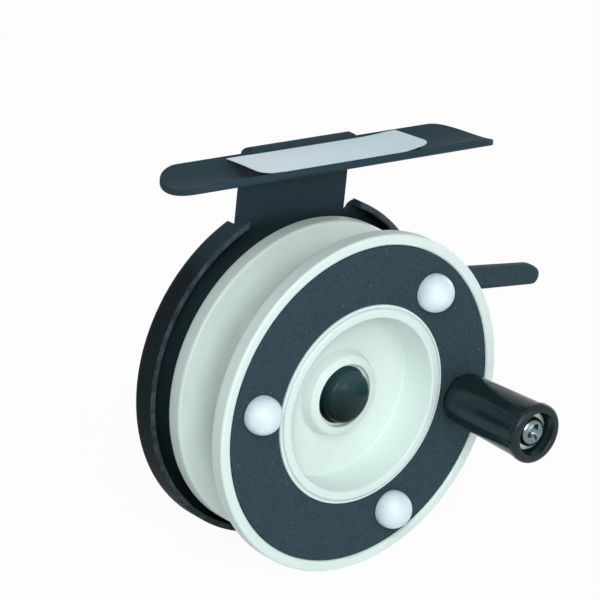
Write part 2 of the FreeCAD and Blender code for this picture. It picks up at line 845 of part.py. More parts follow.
def brake_shoe():
    """Rubber shoe that bears on the spool's brake drum."""
    shoe = sector(shoe_inner_radius, shoe_outer_radius, shoe_angle, shoe_half_angle, lever_front, shoe_front)
    return shoe.cut(disc(shoe_rivet_radius, lever_front, shoe_front, *shoe_rivet_place()))


def brake_shoe_rivet():
    """Rivet through the shoe and the lever's carrier."""
    place = shoe_rivet_place()
    back = lever_back - shoe_rivet_head_thickness
    front = shoe_front + shoe_rivet_head_thickness
    rivet = disc(shoe_rivet_radius, lever_back, shoe_front, *place)
    rivet = rivet.fuse(disc(shoe_rivet_head_radius, back, lever_back, *place))
    return solid_of(rivet.fuse(disc(shoe_rivet_head_radius, shoe_front, front, *place)))


def lever_pivot():
    """Shouldered rivet in the pressed boss that the trigger turns on."""
    return moved(turned([
        (0, 0),
        (pivot_shoulder_radius, 0),
        (pivot_shoulder_radius, pivot_boss_rise),
        (pivot_neck_radius, pivot_boss_rise),
        (pivot_neck_radius, pivot_boss_front),
        (pivot_shoulder_radius, pivot_boss_front),
        (pivot_shoulder_radius, pivot_head_back),
        (pivot_head_radius, pivot_head_back),
        (pivot_head_radius, pivot_head_front, pivot_head_round),
        (0, pivot_head_front),
    ]), pivot_x, pivot_z)


def lever_washer():
    """Washer between the pressed boss and the trigger."""
    hole = pivot_shoulder_radius + running_clearance
    front = pivot_boss_front + lever_washer_thickness
    return washer(hole, pivot_boss_radius, pivot_boss_front, front, pivot_x, pivot_z)


def spring_foot_start():
    """Point (x, z) where the spring's fixed leg leaves the coil."""
    x, z = polar(spring_coil_radius, spring_foot_angle - 90)
    return pivot_x + x, pivot_z + z


def spring_post_place():
    """(x, z) of the post that the spring's fixed leg bears on."""
    start_x, start_z = spring_foot_start()
    along_x, along_z = polar(spring_post_along_foot, spring_foot_angle)
    aside_x, aside_z = polar(spring_wire_radius + post_pin_radius + spring_touch, spring_foot_angle + 90)
    return start_x + along_x + aside_x, start_z + along_z + aside_z


def spring_post():
    """Pin that the spring's fixed leg bears on."""
    x, z = spring_post_place()
    top = rear_flange_back - spring_to_spool
    pin = disc(post_pin_radius, 0, top, x, z)
    return solid_of(pin.fuse(disc(post_collar_radius, sheet, sheet + post_collar_thickness, x, z)))


def spring_path():
    """Centre line of the spring: hook behind the inner arm, coil round the pivot, leg to the post."""
    shoe_x, shoe_z = shoe_rivet_place()
    arm_angle = math.degrees(math.atan2(shoe_z - pivot_z, shoe_x - pivot_x))
    beside_arm = lever_inner_width / 2 + spring_wire_radius + spring_touch
    lean = math.degrees(math.asin((spring_coil_radius - beside_arm) / spring_hook_reach))
    hook_leg = arm_angle + 180 + lean
    start = hook_leg - 90

    def on_coil(turn, depth):
        x, z = polar(spring_coil_radius, start + turn)
        return FreeCAD.Vector(pivot_x + x, -depth, pivot_z + z)

    rise = (spring_front - spring_back) / spring_half_turns
    leg_x, leg_z = polar(1, hook_leg)
    leg = FreeCAD.Vector(leg_x, 0, leg_z)
    backward = FreeCAD.Vector(0, 1, 0)
    bend_in = on_coil(0, spring_back) - leg * spring_hook_reach
    bend_out = bend_in - leg * spring_hook_bend + backward * spring_hook_bend
    bend_center = bend_in + backward * spring_hook_bend
    bend_middle = bend_center - (leg + backward).normalize() * spring_hook_bend
    hook_end = bend_out + backward * (lever_thickness - spring_hook_bend / 2)
    edges = [
        Part.LineSegment(hook_end, bend_out).toShape(),
        Part.Arc(bend_out, bend_middle, bend_in).toShape(),
        Part.LineSegment(bend_in, on_coil(0, spring_back)).toShape(),
    ]
    for half_turn in range(spring_half_turns):
        turn = 180 * half_turn
        depth = spring_back + rise * half_turn
        edges.append(Part.Arc(
            on_coil(turn, depth), on_coil(turn + 90, depth + rise / 2), on_coil(turn + 180, depth + rise),
        ).toShape())
    last = 180 * spring_half_turns
    rest = (spring_foot_angle - 90 - start - last) % 360
    edges.append(Part.Arc(
        on_coil(last, spring_front), on_coil(last + rest / 2, spring_front), on_coil(last + rest, spring_front),
    ).toShape())
    foot_x, foot_z = polar(spring_foot_length, spring_foot_angle)
    foot_start = on_coil(last + rest, spring_front)
    edges.append(Part.LineSegment(foot_start, foot_start + FreeCAD.Vector(foot_x, 0, foot_z)).toShape())
    return edges


def lever_spring():
    """Wire torsion spring that turns the trigger until its shoe bears on the drum."""
    edges = spring_path()
    path = Part.Wire(edges)
    start = edges[0].Vertexes[0].Point
    section = Part.Wire([Part.Circle(start, FreeCAD.Vector(0, 1, 0), spring_wire_radius).toShape()])
    tube = path.makePipeShell([section], True, False)
    expected = math.pi * spring_wire_radius ** 2 * path.Length
    gap = 2 * (spring_front - spring_back) / spring_half_turns - 2 * spring_wire_radius
    print("spring volume / section times length", round(tube.Volume / expected, 4), "least gap", round(gap, 3))
    return solid_of(tube)


pieces = {
    "frame": frame,
    "foot_label": foot_label,
    "label_foam_tape": label_foam_tape,
    "spindle": spindle,
    "spindle_rivet_washer": spindle_rivet_washer,
    "rear_thrust_washer": rear_thrust_washer,
    "front_thrust_washer": front_thrust_washer,
    "spindle_nut": spindle_nut,
    "hub_cap": hub_cap,
    "spool": spool,
    "rear_bushing": rear_bushing,
    "front_bushing": front_bushing,
    "face_ring": face_ring,
    "ring_rivets": ring_rivets,
    "handle_post": handle_post,
    "handle_washer": handle_washer,
    "handle_knob": handle_knob,
    "knob_washer": knob_washer,
    "knob_screw": knob_screw,
    "trigger_lever": trigger_lever,
    "brake_shoe": brake_shoe,
    "brake_shoe_rivet": brake_shoe_rivet,
    "lever_pivot": lever_pivot,
    "lever_washer": lever_washer,
    "lever_spring": lever_spring,
    "spring_post": spring_post,
}

os.makedirs("parts", exist_ok=True)
for name, make in pieces.items():
    piece = make()
    piece.exportStep("parts/" + name + ".step")
    print(name, "solids", len(piece.Solids), "volume", round(piece.Volume, 2), "valid", piece.isValid())
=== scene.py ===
import bmesh
import bpy
import json
import math
from mathutils import Matrix, Vector, noise

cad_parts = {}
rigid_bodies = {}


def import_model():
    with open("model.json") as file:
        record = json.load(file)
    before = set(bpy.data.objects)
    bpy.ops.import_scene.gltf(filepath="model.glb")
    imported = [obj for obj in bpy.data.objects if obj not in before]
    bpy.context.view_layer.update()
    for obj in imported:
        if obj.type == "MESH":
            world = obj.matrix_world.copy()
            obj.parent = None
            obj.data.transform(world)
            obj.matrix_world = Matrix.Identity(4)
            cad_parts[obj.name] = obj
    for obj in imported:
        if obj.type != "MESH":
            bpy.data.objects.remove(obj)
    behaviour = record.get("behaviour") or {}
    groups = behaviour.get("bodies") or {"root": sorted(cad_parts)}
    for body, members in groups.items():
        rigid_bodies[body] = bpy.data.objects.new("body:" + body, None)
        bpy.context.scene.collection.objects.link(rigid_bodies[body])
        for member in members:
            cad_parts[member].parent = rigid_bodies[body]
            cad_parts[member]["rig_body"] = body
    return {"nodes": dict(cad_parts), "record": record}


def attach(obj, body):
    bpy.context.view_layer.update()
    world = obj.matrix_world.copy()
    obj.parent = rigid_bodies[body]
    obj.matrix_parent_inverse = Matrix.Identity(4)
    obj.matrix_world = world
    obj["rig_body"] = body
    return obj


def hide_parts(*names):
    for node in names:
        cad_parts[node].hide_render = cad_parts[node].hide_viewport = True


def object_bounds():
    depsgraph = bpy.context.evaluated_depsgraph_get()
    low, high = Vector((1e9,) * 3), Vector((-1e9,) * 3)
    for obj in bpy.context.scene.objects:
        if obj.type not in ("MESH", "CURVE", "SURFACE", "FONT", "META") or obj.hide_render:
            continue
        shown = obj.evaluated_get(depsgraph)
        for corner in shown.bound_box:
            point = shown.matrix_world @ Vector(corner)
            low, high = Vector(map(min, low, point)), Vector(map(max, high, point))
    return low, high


# Ice fishing reel. Metres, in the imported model's frame: the spool turns about Y, the front faces -Y
# and +Z is up. Sizes in this script are in millimetres, turned into metres with mm, apart from the
# lamps, the floor's reach and the camera's near and far limits, which are in metres. A depth is a
# distance in front of the frame's flat back, and a height is a distance above the spool's axis.

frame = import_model()
cad_low, cad_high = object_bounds()
nodes = frame["nodes"]
mm = 0.001

# Camera, solved from the photograph's circles and edges
camera_azimuth = -41.687
camera_elevation = 19.740
camera_roll = 5.872
camera_distance = 745.2
camera_aim = (5.226, 0.532, 10.792)
camera_lens = 240.54
camera_near = 0.01
camera_far = 20.0

# Lamps, all aimed at the origin: name, place, size and power
lamps = (
    ("key", (-0.40, -0.57, 0.53), 0.5, 3.9),
    ("fill", (0.26, -0.96, 0.08), 0.42, 1.6),
    ("glint", (-0.52, -0.55, 0.30), 0.08, 1.0),
    ("side", (0.90, 0.15, 0.25), 0.5, 2.0),
)

# World and floor
white = (1.0, 1.0, 1.0)
world_color = (0.88, 0.97, 1.0)
world_strength = 0.26
floor_color = (0.9, 0.9, 0.9)
floor_roughness = 0.7
floor_white_share = 0.95
floor_reach = 3.0
floor_drop = 0.02

# Rod foot that the label lies in
foot_middle_depth = 9.575
foot_height = 43.93
foot_tilt = 5.2
trough_drop = 2.07
trough_radius = 14.9

# Label film's outline
film_length = 40.0
film_width = 10.6
film_thickness = 0.14
film_front_corner = 2.8
film_cells_along = 160
film_cells_across = 40

# Label film's heights over the foot's chord, with the lengths along X over which they change
film_stuck_left = (-19.5, -9.0)
film_stuck_right = (11.0, 19.5)
film_front_height = -0.78
film_front_press = 0.20
film_front_lift = 0.62
film_front_lift_span = (12.0, 19.8)
film_back_height = -0.22
film_back_press = 0.06
film_back_lift = 0.28
film_back_lift_span = (12.0, 20.0)
film_bow = 0.16
film_curl = 1.6
film_over_trough = 0.03

# Foam strip under the label film, whose black is partly painted shade under the film's lifted ends
foam_length = 38.4
foam_width = 5.6
foam_below_film = 0.02
foam_cells_along = 60
foam_cells_across = 12
foam_bottom_spread = 1.02
foam_ragged = 0.05
foam_ragged_pace = 1.7
foam_ragged_slice = 3.0

# Width of a sharp change of tone, each side of its place
tone_blur = 0.1

# Pan's rim and corner, and heights where painted shade on them and on the rod foot, and the rim's wear,
# change
pan_center = (-0.5, 0.0, 0.8)
pan_side_radius = 32.6
pan_side_fade = 1.6
pan_side_heights = (30.0, 22.0)
pan_inside_radius = 31.9
pan_corner_radii = (22.9, 28.9)
pan_corner_depths = (0.9, 1.1)
pan_corner_heights = (30.0, 26.0)
pan_edge_depth = 5.4
pan_edge_heights = (33.0, 32.0)
foot_shade_heights = (39.5, 41.0)

# Spool's line groove, flange edges and lip, and where painted shade lies on them
groove_back_depth = 9.9
groove_front_depth = 21.95
groove_blur = 0.3
groove_core_fade = (18.5, 19.5)
groove_shade_radii = (27.5, 21.5)
rear_flange_edge = 30.1
rear_flange_depths = (16.95, 11.9)
front_flange_edge = 32.2
lip_depth = 24.6

# Lengths over which the hub cap's painted reflection and the painted light on the label's left end come in
cap_reflection_direction = (0.35, 0.0, 0.94)
cap_reflection_span = (-4.0, 4.0)
label_light_span = (12.0, -16.0)

# Colours as they render in plain light, in linear values
powder_color = (0.026, 0.052, 0.068)
powder_light = (0.042, 0.075, 0.093)
powder_dark = (0.015, 0.036, 0.048)
# Painted shade for the pan's side and corner
powder_painted_shade = (0.003, 0.006, 0.007)
powder_worn = (0.075, 0.10, 0.105)
dust_color = (0.30, 0.34, 0.35)
mint_color = (0.74, 0.85, 0.82)
mint_shade = (0.705, 0.81, 0.775)
# Painted shade deep in the line groove, on the flanges' outer sides and on the front lip
mint_groove_shade = (0.43, 0.50, 0.45)
mint_side_shade = (0.57, 0.67, 0.645)
mint_lip_shade = (0.72, 0.85, 0.82)
mint_speck = (0.42, 0.45, 0.40)
white_color = (0.75, 0.88, 0.92)
white_shade = (0.70, 0.83, 0.87)
label_color = (0.66, 0.83, 0.94)
label_shade = (0.71, 0.86, 0.93)
# Painted light on the label film's left end
label_painted_light = (0.82, 0.94, 1.0)
black_color = (0.008, 0.020, 0.023)
black_flow = (0.011, 0.024, 0.027)
# Painted reflection on the hub cap's upper part, over its dark base
cap_painted_reflection = (0.026, 0.065, 0.073)
cap_dark = (0.001, 0.006, 0.007)
steel_color = (0.36, 0.40, 0.41)
zinc_color = (0.66, 0.76, 0.75)
nickel_color = (0.20, 0.26, 0.28)
metal_shade = 0.82
foam_dark = (0.009, 0.011, 0.012)
foam_light = (0.022, 0.026, 0.028)
rubber_color = (0.014, 0.015, 0.015)
rubber_dust = (0.06, 0.062, 0.06)
acetal_color = (0.75, 0.72, 0.62)
acetal_shade = (0.68, 0.66, 0.58)

# Shares of the tones that lie over a base colour; the foot, pan and front flange shares are painted shade
powder_lift_on_frame = 0.5
foot_shade_share = 0.5
rim_side_shade_share = 0.9
pan_corner_shade_share = 0.85
dust_tone = 0.6
front_side_shade_share = 0.7
speck_tone = 0.4

# Gloss of each dark coat and moulding
powder_gloss = 0.12
frame_gloss = 0.05
knob_gloss = 0.2
cap_gloss = 0.09

# Roughness of each finish, from its smoothest to its roughest patches where there are two values
powder_rough = (0.5, 0.68)
spool_rough = (0.36, 0.5)
white_rough = (0.34, 0.46)
label_rough = (0.42, 0.55)
knob_rough = (0.1, 0.2)
cap_rough = (0.07, 0.12)
steel_rough = (0.28, 0.44)
nickel_rough = (0.16, 0.3)
washer_rough = (0.34, 0.5)
foam_rough = 0.92
rubber_rough = 0.8
acetal_rough = 0.42

# Light that passes a little way through the spool's plastic
spool_glow = 0.12
spool_glow_radius = (0.9, 1.0, 0.95)
spool_glow_depth = 0.8

# Parts of a noise's range that are spread out: soft for a gentle change, clear for a more marked one
soft_range = (0.3, 0.7)
clear_range = (0.35, 0.65)

# Depths of the fine turning marks on plated metal
steel_marks = 0.004
nickel_marks = 0.003


# Meshes

def link(name, mesh):
    """New object with this mesh in the scene."""
    piece = bpy.data.objects.new(name, mesh)
    bpy.context.scene.collection.objects.link(piece)
    return piece


def body_of(node):
    """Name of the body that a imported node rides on."""
    return nodes[node]["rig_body"]


def slot_of(node):
    """Name of the record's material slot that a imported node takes."""
    for part in frame["record"]["subparts"]:
        if part["node"] == node:
            return part["material_slot"]


def stand_in(piece, node, material):
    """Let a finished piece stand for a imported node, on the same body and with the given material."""
    piece.data.materials.clear()
    piece.data.materials.append(material)
    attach(piece, body_of(node))
    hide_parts(node)


def smooth(low, high, value):
    """Soft step from 0 at low to 1 at high."""
    share = min(max((value - low) / (high - low), 0.0), 1.0)
    return share * share * (3 - 2 * share)


def on_foot(x, across, height):
    """Point beside the foot's chord: along it, towards its back, and square to the chord plane."""
    tilt = math.radians(-foot_tilt)
    y = -foot_middle_depth + across * math.cos(tilt) - height * math.sin(tilt)
    z = foot_height + across * math.sin(tilt) + height * math.cos(tilt)
    return Vector((x, y, z)) * mm


def trough_height(across):
    """Height of the trough's surface under the foot's chord plane."""
    return trough_radius - math.sqrt(trough_radius ** 2 - across ** 2) - trough_drop


def film_height(x, across):
    """Height of the label film's underside: stuck down in its middle, lifting off at both ends."""
    stuck = smooth(*film_stuck_left, x) * (1 - smooth(*film_stuck_right, x))
    front_lift = film_front_lift * smooth(*film_front_lift_span, x)
    back_lift = film_back_lift * smooth(*film_back_lift_span, x)
    front = film_front_height - film_front_press * stuck + front_lift
    back = film_back_height - film_back_press * stuck + back_lift
    share = across / film_width + 0.5
    bow = film_bow * stuck * (1 - (2 * share - 1) ** 2)
    lowest = trough_height(across) + film_over_trough
    return max(front + (back - front) * (1 - (1 - share) ** film_curl) + bow, lowest)


def film_outline(x, across):
    """Carry a grid point into the label's outline, which is rounded at its two front corners."""
    half_length = film_length / 2
    half_width = film_width / 2
    into_corner = -half_width + film_front_corner - across
    if into_corner <= 0:
        return x, across
    inset = film_front_corner - math.sqrt(max(film_front_corner ** 2 - into_corner ** 2, 0.0))
    return x * (half_length - inset) / half_length, across


def finished_piece(work, mesh_name, node, material):
    """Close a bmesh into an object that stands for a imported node."""
    bmesh.ops.recalc_face_normals(work, faces=work.faces)
    mesh = bpy.data.meshes.new(mesh_name)
    work.to_mesh(mesh)
    work.free()
    stand_in(link(mesh_name, mesh), node, material)


def label_film_piece(material):
    """Thin label film over the foot's trough."""
    work = bmesh.new()
    grid = []
    for i in range(film_cells_along + 1):
        row = []
        for j in range(film_cells_across + 1):
            spread = 0.5 - 0.5 * math.cos(math.pi * j / film_cells_across)
            place = film_length * (i / film_cells_along - 0.5)
            x, across = film_outline(place, film_width * (spread - 0.5))
            height = film_height(x, across)
            upper = work.verts.new(on_foot(x, across, height + film_thickness))
            lower = work.verts.new(on_foot(x, across, height))
            row.append((upper, lower))
        grid.append(row)
    for i in range(film_cells_along):
        for j in range(film_cells_across):
            ring = (grid[i][j], grid[i + 1][j], grid[i + 1][j + 1], grid[i][j + 1])
            work.faces.new([pair[0] for pair in ring])
            work.faces.new([pair[1] for pair in reversed(ring)])
    border = [grid[i][0] for i in range(film_cells_along + 1)]
    border += [grid[-1][j] for j in range(1, film_cells_across + 1)]
    border += [grid[i][-1] for i in range(film_cells_along - 1, -1, -1)]
    border += [grid[0][j] for j in range(film_cells_across - 1, 0, -1)]
    for pair, following in zip(border, border[1:] + border[:1]):
        work.faces.new((pair[0], pair[1], following[1], following[0]))
    finished_piece(work, "label_film", "foot_label", material)


def foam_and_shade_strip(material):
    """Foam strip between the trough and the film, with soft cut edges; its black is partly painted shade
    under the lifted film.
    """
    work = bmesh.new()
    rings = []
    for i in range(foam_cells_along + 1):
        x = foam_length * (i / foam_cells_along - 0.5)
        top = []
        bottom = []
        for j in range(foam_cells_across + 1):
            across = foam_width * (j / foam_cells_across - 0.5)
            ragged = foam_ragged * noise.noise(Vector((x * foam_ragged_pace, across, foam_ragged_slice)))
            below = on_foot(x + ragged, across * foam_bottom_spread + ragged, trough_height(across))
            top.append(work.verts.new(on_foot(x, across, film_height(x, across) - foam_below_film)))
            bottom.append(work.verts.new(below))
        rings.append(top + bottom[::-1])
    for ring, following in zip(rings, rings[1:]):
        for j in range(len(ring)):
            near = (j + 1) % len(ring)
            work.faces.new((ring[j], following[j], following[near], ring[near]))
    work.faces.new(rings[0])
    work.faces.new(list(reversed(rings[-1])))
    finished_piece(work, "label_foam_strip", "label_foam_tape", material)


# Material nodes

class Nodes:
    """Small helper that writes a material's node tree from left to right."""

    def __init__(self, name):
        self.material = bpy.data.materials.new(name)
        self.material.use_nodes = True
        self.tree = self.material.node_tree
        self.tree.nodes.clear()
        self.output = self.tree.nodes.new("ShaderNodeOutputMaterial")
        self.shader = self.tree.nodes.new("ShaderNodeBsdfPrincipled")
        self.join(self.shader.outputs["BSDF"], self.output.inputs["Surface"])
        self.place = self.tree.nodes.new("ShaderNodeTexCoord").outputs["Object"]

    def join(self, source, target):
        """Link a socket, or set a plain value, on a target socket."""
        if isinstance(source, (int, float)):
            target.default_value = source
        elif isinstance(source, tuple):
            target.default_value = (*source, 1.0)[:len(target.default_value)]
        else:
            self.tree.links.new(source, target)

    def noise(self, size, detail=3.0, roughness=0.5):
        """Noise from 0 to 1 whose features measure about size millimetres."""
        node = self.tree.nodes.new("ShaderNodeTexNoise")
        self.join(self.place, node.inputs["Vector"])
        self.join(1 / (size * mm), node.inputs["Scale"])
        self.join(detail, node.inputs["Detail"])
        self.join(roughness, node.inputs["Roughness"])
        return node.outputs["Fac"]

    def cells(self, size):
        """Distance to the nearest of points spread about size millimetres apart."""
        node = self.tree.nodes.new("ShaderNodeTexVoronoi")
        node.feature = "F1"
        self.join(self.place, node.inputs["Vector"])
        self.join(1 / (size * mm), node.inputs["Scale"])
        return node.outputs["Distance"]

    def spread(self, value, low, high, start=0.0, end=1.0):
        """The value carried from one range to another and clamped there."""
        node = self.tree.nodes.new("ShaderNodeMapRange")
        sources = {"Value": value, "From Min": low, "From Max": high, "To Min": start, "To Max": end}
        for name, source in sources.items():
            self.join(source, node.inputs[name])
        return node.outputs["Result"]

    def math(self, operation, first, second):
        """Result of one operation on two values."""
        node = self.tree.nodes.new("ShaderNodeMath")
        node.operation = operation
        self.join(first, node.inputs[0])
        self.join(second, node.inputs[1])
        return node.outputs["Value"]

    def product(self, first, *others):
        """Values multiplied together."""
        result = first
        for other in others:
            result = self.math("MULTIPLY", result, other)
        return result

    def vector(self, operation, first, second, output="Vector"):
        """Result of one operation on two vectors."""
        node = self.tree.nodes.new("ShaderNodeVectorMath")
        node.operation = operation
        self.join(first, node.inputs[0])
        self.join(second, node.inputs[1])
        return node.outputs[output]

    def blend(self, factor, first, second):
        """Colour between two colours."""
        node = self.tree.nodes.new("ShaderNodeMix")
        node.data_type = "RGBA"
        self.join(factor, node.inputs["Factor"])
        self.join(first, node.inputs[6])
        self.join(second, node.inputs[7])
        return node.outputs[2]

    def bump(self, height, depth, below=None):
        """Normal that follows a height given from 0 to 1, for a depth in millimetres."""
        node = self.tree.nodes.new("ShaderNodeBump")
        self.join(height, node.inputs["Height"])
        self.join(depth * mm, node.inputs["Distance"])
        self.join(1.0, node.inputs["Strength"])
        if below is not None:
            self.join(below, node.inputs["Normal"])
        return node.outputs["Normal"]

    def set(self, **values):
        """Set the shader's inputs by name, with _ for a space."""
        for name, value in values.items():
            self.join(value, self.shader.inputs[name.replace("_", " ")])
        return self.material


def direct_rays(tree):
    """1 for camera, glossy and transmission rays, and 0 for the rays that light a surface."""
    seen = tree.nodes.new("ShaderNodeLightPath")
    share = seen.outputs["Is Camera Ray"]
    for name in ("Is Glossy Ray", "Is Transmission Ray"):
        larger = tree.nodes.new("ShaderNodeMath")
        larger.operation = "MAXIMUM"
        tree.links.new(share, larger.inputs[0])
        tree.links.new(seen.outputs[name], larger.inputs[1])
        share = larger.outputs["Value"]
    return share


# Places on the object, for tones that belong to one region: painted shade on the pan, the rod foot
# and the spool, and wear on the pan's front edge. They follow the photograph, which does not show
# whether such a tone is colour, shade or reflection.

def radius_from(look, center):
    """Distance from a point in the XZ plane, in metres."""
    away = look.vector("SUBTRACT", look.place, tuple(mm * part for part in center))
    flat = look.vector("MULTIPLY", away, (1.0, 0.0, 1.0))
    return look.vector("LENGTH", flat, (0.0, 0.0, 0.0), "Value")


def along(look, direction):
    """Position along a direction, in metres."""
    return look.vector("DOT_PRODUCT", look.place, direction, "Value")


def depth_of(look):
    """Depth in front of the frame's flat back, in metres."""
    return along(look, (0.0, -1.0, 0.0))


def height_of(look):
    """Height above the spool's axis, in metres."""
    return along(look, (0.0, 0.0, 1.0))


def step(look, value, low, high):
    """0 below low and 1 above high, both in millimetres, or the other way round where low is larger."""
    return look.spread(value, low * mm, high * mm)


def edge(look, value, place):
    """0 below a place and 1 above it, with a narrow change between."""
    return step(look, value, place - tone_blur, place + tone_blur)


def rim_side_shade(look):
    """1 on the outer side of the pan's rim, where shade is painted, and 0 elsewhere on the frame."""
    outside = step(look, radius_from(look, pan_center), pan_side_radius - pan_side_fade, pan_side_radius)
    below = step(look, height_of(look), *pan_side_heights)
    return look.product(outside, below)


def pan_corner_shade(look):
    """Painted shade, rising from 0 to 1 on the pan's floor towards the foot of its rim and staying 1 up the
    rim's inside.
    """
    radius = radius_from(look, pan_center)
    outward = step(look, radius, *pan_corner_radii)
    inside = step(look, radius, pan_inside_radius + tone_blur, pan_inside_radius - tone_blur)
    ahead = step(look, depth_of(look), *pan_corner_depths)
    below = step(look, height_of(look), *pan_corner_heights)
    return look.product(outward, inside, ahead, below)


def pan_edge(look):
    """1 on the front edge of the pan's rim and 0 elsewhere on the frame."""
    ahead = edge(look, depth_of(look), pan_edge_depth)
    below = step(look, height_of(look), *pan_edge_heights)
    return look.product(ahead, below)


def foot_only(look):
    """1 on the rod foot, which gets painted shade, and 0 elsewhere on the frame."""
    return step(look, height_of(look), *foot_shade_heights)


def groove_shade(look):
    """Painted shade, rising from 0 high on the flanges' walls to 1 at the bottom of the line groove, with a
    mottle.
    """
    depth = depth_of(look)
    radius = radius_from(look, (0.0, 0.0, 0.0))
    behind = step(look, depth, groove_back_depth - groove_blur, groove_back_depth + groove_blur)
    ahead = step(look, depth, groove_front_depth + groove_blur, groove_front_depth - groove_blur)
    inward = step(look, radius, *groove_shade_radii)
    outside_core = step(look, radius, *groove_core_fade)
    mottle = look.spread(look.noise(size=5.0, detail=4.0), *soft_range, 0.8, 1.0)
    return look.product(behind, ahead, outside_core, inward, mottle)


def flange_side_shade(look):
    """Share of painted shade on the outer sides of the two flanges, and 0 elsewhere on the spool."""
    depth = depth_of(look)
    radius = radius_from(look, (0.0, 0.0, 0.0))
    front = look.product(edge(look, radius, front_flange_edge), front_side_shade_share)
    rear = look.product(edge(look, radius, rear_flange_edge), step(look, depth, *rear_flange_depths))
    return look.math("MAXIMUM", front, rear)


# Materials

def powder_coat(name, on_frame):
    """Dark blue-grey powder coat: fine pebbled skin, mottled tone and pale specks of dust, and on the frame
    painted shade on the rod foot and the pan, and a worn rim edge.
    """
    look = Nodes(name)
    grain = look.noise(size=0.42, detail=5.0, roughness=0.7)
    pebbles = look.cells(size=0.36)
    cloud = look.noise(size=9.0, detail=2.0)
    tone = look.blend(look.spread(grain, 0.38, 0.64), powder_dark, powder_light)
    tone = look.blend(look.spread(cloud, *soft_range, 0.1, 0.45), tone, powder_color)
    dots = look.spread(look.cells(size=2.1), 0.085, 0.045)
    dusty = look.spread(look.noise(size=6.0), 0.46, 0.58)
    color = look.blend(look.product(dots, dusty, dust_tone), tone, dust_color)
    if on_frame:
        color = look.blend(powder_lift_on_frame, color, powder_light)
        # Painted shade on the rod foot
        color = look.blend(look.product(foot_only(look), foot_shade_share), color, powder_dark)
        # Painted shade on the outer side of the pan's rim and in the pan's corner
        color = look.blend(look.product(rim_side_shade(look), rim_side_shade_share), color, powder_painted_shade)
        color = look.blend(look.product(pan_corner_shade(look), pan_corner_shade_share), color, powder_painted_shade)
        scratches = look.spread(look.noise(size=1.5, detail=4.0), *clear_range, 0.2, 0.75)
        color = look.blend(look.product(pan_edge(look), scratches), color, powder_worn)
    skin = look.bump(look.noise(size=0.8, detail=3.0), depth=0.05)
    fine = look.bump(pebbles, depth=0.035, below=skin)
    rough = look.spread(grain, *soft_range, *powder_rough)
    gloss = frame_gloss if on_frame else powder_gloss
    return look.set(Base_Color=color, Roughness=rough, Normal=fine, Specular_IOR_Level=gloss)


def spool_plastic():
    """Satin mint white moulding: faint clouding, painted shade in the groove, on the flange sides and on
    the lip, specks and a soft skin.
    """
    look = Nodes("spool_plastic_look")
    cloud = look.noise(size=14.0, detail=3.0)
    color = look.blend(look.spread(cloud, *clear_range), mint_color, mint_shade)
    # Painted shade deep in the line groove
    color = look.blend(groove_shade(look), color, mint_groove_shade)
    # Painted shade on the flanges' outer sides
    color = look.blend(flange_side_shade(look), color, mint_side_shade)
    # Painted shade on the front lip
    color = look.blend(edge(look, depth_of(look), lip_depth), color, mint_lip_shade)
    specks = look.product(look.spread(look.cells(size=4.6), 0.04, 0.02), speck_tone)
    color = look.blend(specks, color, mint_speck)
    skin = look.bump(look.noise(size=0.35, detail=3.0), depth=0.006)
    waves = look.bump(look.noise(size=7.0, detail=1.0), depth=0.03, below=skin)
    rough = look.spread(look.noise(size=2.2, detail=4.0), *soft_range, *spool_rough)
    return look.set(
        Base_Color=color, Roughness=rough, Normal=waves, Subsurface_Weight=spool_glow,
        Subsurface_Radius=spool_glow_radius, Subsurface_Scale=spool_glow_depth * mm,
    )


def white_plastic():
    """Cool white moulding of the rivet heads, a little brighter and smoother than the spool."""
    look = Nodes("white_plastic_look")
    color = look.blend(look.spread(look.noise(size=2.5), *clear_range), white_color, white_shade)
    skin = look.bump(look.noise(size=0.5, detail=3.0), depth=0.008)
    rough = look.spread(look.noise(size=1.2), *soft_range, *white_rough)
    return look.set(Base_Color=color, Roughness=rough, Normal=skin)


def black_plastic(name, gloss, roughness, painted_reflection=False):
    """Glossy black moulding with faint flow marks, or with a painted reflection on the hub cap's upper
    part.
    """
    look = Nodes(name)
    if painted_reflection:
        # Painted reflection on the cap's upper part
        upper = step(look, along(look, cap_reflection_direction), *cap_reflection_span)
        patchy = look.spread(look.noise(size=2.2, detail=3.0), *soft_range, 0.9, 1.0)
        color = look.blend(look.product(upper, patchy), cap_dark, cap_painted_reflection)
    else:
        color = look.blend(look.noise(size=3.0), black_color, black_flow)
    flow = look.bump(look.noise(size=2.6, detail=1.0), depth=0.02)
    skin = look.bump(look.noise(size=0.25, detail=2.0), depth=0.0015, below=flow)
    rough = look.spread(look.noise(size=1.8, detail=4.0), 0.35, 0.7, *roughness)
    return look.set(Base_Color=color, Roughness=rough, Normal=skin, Specular_IOR_Level=gloss)


def metal(name, color, roughness, depth):
    """Plated metal with fine turning marks and a patchy gloss."""
    look = Nodes(name)
    shade = tuple(metal_shade * part for part in color)
    tint = look.blend(look.noise(size=1.4, detail=4.0), color, shade)
    marks = look.bump(look.noise(size=0.12, detail=2.0), depth)
    rough = look.spread(look.noise(size=0.9, detail=4.0), *soft_range, *roughness)
    return look.set(Base_Color=tint, Metallic=1.0, Roughness=rough, Normal=marks)


def label_film():
    """Bare pale blue film with painted light on its left end, a faint sheen and a soft ripple."""
    look = Nodes("label_film_look")
    color = look.blend(look.spread(look.noise(size=5.0), *clear_range), label_color, label_shade)
    # Painted light on the film's left end
    lit_end = step(look, along(look, (1.0, 0.0, 0.0)), *label_light_span)
    color = look.blend(lit_end, color, label_painted_light)
    ripple = look.bump(look.noise(size=4.0, detail=1.0), depth=0.02)
    rough = look.spread(look.noise(size=1.5), *soft_range, *label_rough)
    return look.set(Base_Color=color, Roughness=rough, Normal=ripple)


